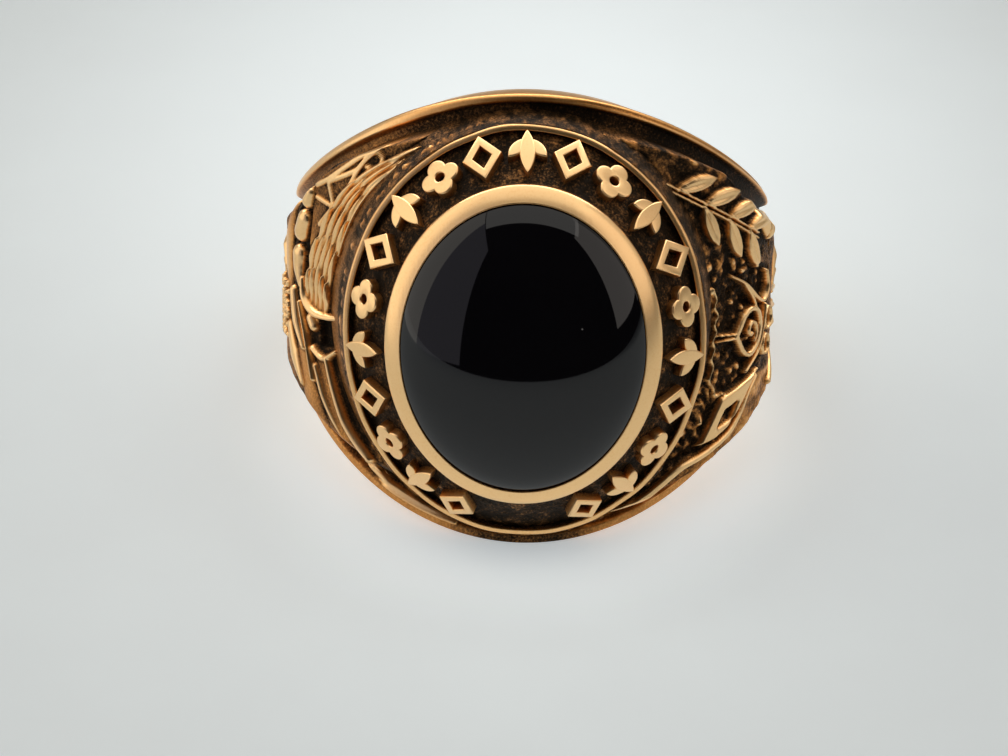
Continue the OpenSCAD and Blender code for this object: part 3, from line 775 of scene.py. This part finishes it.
def mark_mesh(outlines):
    """A low raised shape with eased edges, from closed outlines in mm."""
    curve = bpy.data.curves.new("mark", "CURVE")
    curve.dimensions, curve.fill_mode = "2D", "BOTH"
    curve.extrude, curve.bevel_depth, curve.bevel_resolution, curve.offset = 0.3, mark_edge, 3, -mark_edge
    for outline in outlines:
        spline = curve.splines.new("POLY")
        spline.points.add(len(outline) - 1)
        zeros, ones = np.zeros((len(outline), 1)), np.ones((len(outline), 1))
        spline.points.foreach_set("co", np.hstack([outline, zeros, ones]).ravel())
        spline.use_cyclic_u = True
    holder = bpy.data.objects.new("mark", curve)
    bpy.context.collection.objects.link(holder)
    bpy.context.view_layer.update()
    mesh = bpy.data.meshes.new_from_object(holder.evaluated_get(bpy.context.evaluated_depsgraph_get()))
    bpy.data.objects.remove(holder)
    work = bmesh.new()
    work.from_mesh(mesh)
    bmesh.ops.remove_doubles(work, verts=work.verts, dist=1e-4)
    bmesh.ops.triangulate(work, faces=[f for f in work.faces if len(f.verts) > 4])
    bmesh.ops.recalc_face_normals(work, faces=work.faces)
    points = np.array([v.co for v in work.verts])
    work.verts.index_update()
    faces = [[v.index for v in f.verts] for f in work.faces]
    work.free()
    return points, faces


def flower(length):
    """Outline of four round petals, and of the open eye between them."""
    reach, radius = length * 0.2, length * 0.19
    petal = np.radians(np.linspace(-45, 45, 16)[:-1])
    r = reach * np.cos(petal) + np.sqrt(radius ** 2 - (reach * np.sin(petal)) ** 2)
    outer = []
    for k in np.radians((0, 90, 180, 270)):
        outer.append(np.stack([r * np.cos(petal + k), r * np.sin(petal + k)], 1))
    eye = np.radians(np.linspace(0, 360, 25)[:-1])
    return [np.concatenate(outer), np.stack([np.cos(eye), np.sin(eye)], 1) * length * 0.095]


def sprig(length):
    """Three pointed leaves that spring from one foot, each a shape of its own."""
    points, faces = mark_mesh([pointed_leaf(length, length * 0.3)])
    for side in (-1, 1):
        lean = math.radians(40)
        middle = (side * -0.28 * length * math.sin(lean), length * (0.28 * math.cos(lean) - 0.3))
        leaf_points, leaf_faces = mark_mesh([pointed_leaf(length * 0.56, length * 0.25, middle, 40 * side)])
        leaf_points[:, 2] -= 0.012 * (2 + side)
        faces += [[i + len(points) for i in f] for f in leaf_faces]
        points = np.vstack([points, leaf_points])
    return points, faces


kinds = [sprig(mark_l), mark_mesh([diamond(mark_l, mark_l * 0.75), diamond(mark_l * 0.52, mark_l * 0.37)]),
         mark_mesh(flower(mark_l))]
all_points, all_faces, marks_so_far = [], [], 0
middle_half = [(bezel_half[j] + lip_inner[j]) / 2 for j in (0, 1)]
last = mark_places - 1 - mark_gap
for k in range(last + 1):
    t = math.radians(270 + 360 / mark_places * (k + (mark_gap + 1) / 2))
    facing = math.atan2(math.sin(t) / middle_half[1], math.cos(t) / middle_half[0])
    points, faces = kinds[int(abs(k - last / 2)) % 3]
    by_hand = Matrix.Rotation(math.radians(dice.uniform(-2.5, 2.5)), 3, "Z") * dice.uniform(0.97, 1.02)
    turn = Matrix.Rotation(facing, 3, "Z") @ Matrix.Rotation(band_slope, 3, "Y")
    turn = turn @ Matrix.Rotation(math.radians(90), 3, "Z") @ by_hand
    lifted = points.copy()
    lifted[:, 2] += mark_h - 0.3
    centre = (middle_half[0] * math.cos(t), middle_half[1] * math.sin(t), (band_foot_n + band_top_n) / 2)
    placed = lifted @ np.array(turn).T + centre
    rise = (lifted[:, 2] - mark_h + 0.12) / 0.12
    all_points.append(np.hstack([placed, np.clip(0.85 * (1 - rise), 0, 1)[:, None]]))
    all_faces += [[i + marks_so_far for i in f] for f in faces]
    marks_so_far += len(points)
all_points = np.vstack(all_points)
mesh = bpy.data.meshes.new("band_marks")
mesh.from_pydata(in_frame(all_points[:, :3]).tolist(), [], all_faces)
keep_tarnish_and_painted_light(mesh, all_points[:, 3])
mesh.shade_smooth()
mesh.set_sharp_from_angle(angle=math.radians(40))
marks = bpy.data.objects.new("band_marks", mesh)
bpy.context.collection.objects.link(marks)
marks.data.materials.append(gold)
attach(marks, "root")
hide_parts("ring")

# Stone
# A black onyx cut as a domed oval and polished to a mirror. It drops into the seat inside the bezel,
# whose edge is then pressed over it.

# Black onyx, polished: a deep near-black with a sharp reflection and a few specks of dust.
onyx = bpy.data.materials.new("polished_black_onyx")
onyx.use_nodes = True
tree = onyx.node_tree
surface = tree.nodes["Principled BSDF"]
place = add_node(tree, "ShaderNodeTexCoord").outputs["Object"]
cloud = add_node(tree, "ShaderNodeTexNoise", {}, {"Vector": place, "Scale": 1 / 0.004, "Detail": 3.0})
dust = add_node(tree, "ShaderNodeTexVoronoi", {}, {"Vector": place, "Scale": 1 / 0.0021})
fleck = add_node(tree, "ShaderNodeMapRange", {},
                 {"Value": dust.outputs["Distance"], "From Min": 0.016, "From Max": 0.024, "To Min": 1.0,
                  "To Max": 0.0})
deep = add_node(tree, "ShaderNodeMix", {"data_type": "RGBA"},
                {0: cloud.outputs["Fac"], 6: colour("040306"), 7: colour("09080A")})
shade = add_node(tree, "ShaderNodeMix", {"data_type": "RGBA"},
                 {0: fleck.outputs[0], 6: deep.outputs[2], 7: colour("8A8784")})
gloss = add_node(tree, "ShaderNodeMapRange", {}, {"Value": fleck.outputs[0], "To Min": 0.035, "To Max": 0.5})
tree.links.new(shade.outputs[2], surface.inputs["Base Color"])
tree.links.new(gloss.outputs[0], surface.inputs["Roughness"])
surface.inputs["IOR"].default_value = 1.54
surface.inputs["Specular IOR Level"].default_value = 0.38

rows = []
for drop in np.linspace(0, 1, 5):
    rows.append(hoop_row(0, girdle_n - girdle_h * (1 - drop), 0, stone_half))
for lift in np.radians(np.linspace(0, 90, 65))[1:]:
    k = math.cos(lift)
    rows.append(hoop_row(0, girdle_n + dome_h * math.sin(lift), 0, (stone_half[0] * k, stone_half[1] * k)))
base = np.stack([hoop_row(0, girdle_n - girdle_h, 0, (stone_half[0] * k, stone_half[1] * k)) for k in (0, 1)])
stone = cast("onyx_stone", [np.stack(rows)[:, ::3], base[:, ::3]], [],
             lambda p: np.abs(p[:, 2] - (girdle_n - girdle_h)) < 1e-6)
stone.data.materials.append(onyx)
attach(stone, "root")
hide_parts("stone")

# Table, tent and light
# A pale matte table top and the soft white walls of a small light tent, open towards the camera.
table_front = -0.14
table_points = [(-0.6, table_front, 0), (0.6, table_front, 0), (0.6, 0.9, 0), (-0.6, 0.9, 0)]
mesh = bpy.data.meshes.new("table_top")
mesh.from_pydata(table_points, [], [(0, 1, 2, 3)])
table = bpy.data.objects.new("table_top", mesh)
bpy.context.collection.objects.link(table)
# Matte paper, pale and cool, with faint clouds of tone about 6 mm across.
paper = bpy.data.materials.new("matte_paper")
paper.use_nodes = True
tree = paper.node_tree
surface = tree.nodes["Principled BSDF"]
place = add_node(tree, "ShaderNodeTexCoord").outputs["Object"]
fibre = add_node(tree, "ShaderNodeTexNoise", {}, {"Vector": place, "Scale": 1 / 0.006, "Detail": 5.0})
sheet_colour = add_node(tree, "ShaderNodeMix", {"data_type": "RGBA"},
                        {0: fibre.outputs["Fac"], 6: colour("DEE5E8"), 7: colour("E2EAED")})
tree.links.new(sheet_colour.outputs[2], surface.inputs["Base Color"])
# painted light: the paper glows faintly by its own emission, strongest under the ring, with a second patch
# about the ring's lower side that fills in the ring's shadow
spread = add_node(tree, "ShaderNodeMapping", {},
                  {"Vector": place, "Location": (0.0, -0.556, 0.0), "Scale": (1 / 0.03, 1 / 0.045, 1.0)})
away_from_ring = add_node(tree, "ShaderNodeVectorMath", {"operation": "LENGTH"}, {0: spread.outputs[0]})
in_front = add_node(tree, "ShaderNodeMapping", {},
                    {"Vector": place, "Location": (0.0, 0.143, 0.0), "Scale": (1 / 0.013, 1 / 0.014, 1.0)})
from_front = add_node(tree, "ShaderNodeVectorMath", {"operation": "LENGTH"}, {0: in_front.outputs[0]})
# painted light that fills in the ring's shadow on the paper about its lower side
painted_glow_in_front = add_node(tree, "ShaderNodeMapRange", {"interpolation_type": "SMOOTHSTEP"},
                    {"Value": from_front.outputs["Value"], "From Min": 0.5, "From Max": 1.05, "To Min": 0.29,
                     "To Max": 0.0})
glow = add_node(tree, "ShaderNodeMapRange", {"interpolation_type": "SMOOTHSTEP"},
                {"Value": away_from_ring.outputs["Value"], "From Max": 1.4, "To Min": 0.46, "To Max": 0.05})
tree.links.new(sheet_colour.outputs[2], surface.inputs["Emission Color"])
both = add_node(tree, "ShaderNodeMath", {"operation": "ADD"}, {0: glow.outputs[0], 1: painted_glow_in_front.outputs[0]})
tree.links.new(both.outputs[0], surface.inputs["Emission Strength"])
surface.inputs["Roughness"].default_value = 0.95
surface.inputs["Specular IOR Level"].default_value = 0.1
table.data.materials.append(paper)

world = bpy.data.worlds.new("dark_room")
bpy.context.scene.world = world
world.use_nodes = True
tree = world.node_tree
rays = add_node(tree, "ShaderNodeLightPath")
room = add_node(tree, "ShaderNodeMix", {"data_type": "RGBA"},
                {0: rays.outputs["Is Camera Ray"], 6: colour("1E1D1C"), 7: colour("E4E9E8")})
tree.links.new(room.outputs[2], tree.nodes["Background"].inputs["Color"])


def panel(name, place, aim, size, brightness, tint, seen_matte=True, seen_glossy=True):
    """A soft flat light, so many metres wide and tall, as bright as its brightness times white paper."""
    lamp = bpy.data.lights.new(name, "AREA")
    lamp.shape, (lamp.size, lamp.size_y) = "RECTANGLE", size
    lamp.energy, lamp.color = brightness * math.pi * size[0] * size[1], colour(tint)[:3]
    holder = bpy.data.objects.new(name, lamp)
    holder.location = place
    holder.rotation_mode = "QUATERNION"
    holder.rotation_quaternion = (Vector(aim) - Vector(place)).to_track_quat("-Z", "Y")
    holder.visible_diffuse, holder.visible_glossy = seen_matte, seen_glossy
    bpy.context.collection.objects.link(holder)


panel("sky", (0, 0.20, 0.22), (0, 0, 0.0), (0.46, 0.2), 3.2, "FFFFFF", seen_matte=False)
panel("ceiling", (0.02, 0.0, 0.225), (0.02, 0.0, 0), (0.26, 0.2), 1.0, "FFFCF6")
panel("wall_left_front", (-0.11, -0.136, 0.11), (0, -0.136, 0.11), (0.148, 0.22), 0.4, "F6F2FF")
panel("wall_left", (-0.11, -0.011, 0.11), (0, -0.011, 0.11), (0.102, 0.22), 1.15, "FFF9F0")
panel("wall_left_back", (-0.11, 0.1, 0.11), (0, 0.1, 0.11), (0.12, 0.22), 0.45, "FFF9F0")
panel("wall_right", (0.14, -0.06, 0.13), (0, -0.06, 0.13), (0.12, 0.2), 1.0, "FFF6EE")
panel("wall_right_back", (0.14, 0.1, 0.13), (0, 0.1, 0.13), (0.2, 0.22), 0.45, "FFF9F0")
panel("front", (0, -0.15, 0.38), (0, 0, 0), (0.4, 0.3), 1.02, "FFFEFA", seen_glossy=False)

# Camera
# A close view from the stone's side: 16 degrees up along the finger from straight above the stone.
camera_up, camera_side, camera_roll = 16.0, 1.5, 1.0
camera_far, aim_left, aim_down = 91.9, 0.783, 1.578
up, sideways_turn, roll = (math.radians(v) for v in (camera_up, camera_side, camera_roll))
away = np.array([math.sin(sideways_turn) * math.cos(up), math.sin(up),
                 math.cos(sideways_turn) * math.cos(up)])
to_right = np.cross([0, 1, 0], away)
to_right /= np.linalg.norm(to_right)
to_top = np.cross(away, to_right)
rolled_right = to_right * math.cos(roll) + to_top * math.sin(roll)
rolled_top = -to_right * math.sin(roll) + to_top * math.cos(roll)
seat = np.array([0, 0, 12]) + camera_far * away - aim_left * rolled_right - aim_down * rolled_top
axes = [v[0] * across + v[1] * along + v[2] * outward for v in (rolled_right, rolled_top, away)]
lens = bpy.data.cameras.new("camera")
lens.lens, lens.sensor_width = 84.2, 36.0
lens.clip_start, lens.clip_end = 0.005, 5.0
camera = bpy.data.objects.new("camera", lens)
camera.matrix_world = Matrix([[*row, 0] for row in np.array(axes).T] + [[0, 0, 0, 1]])
camera.location = in_frame(seat)
bpy.context.collection.objects.link(camera)
scene = bpy.context.scene
scene.camera = camera
scene.view_settings.view_transform = "Standard"
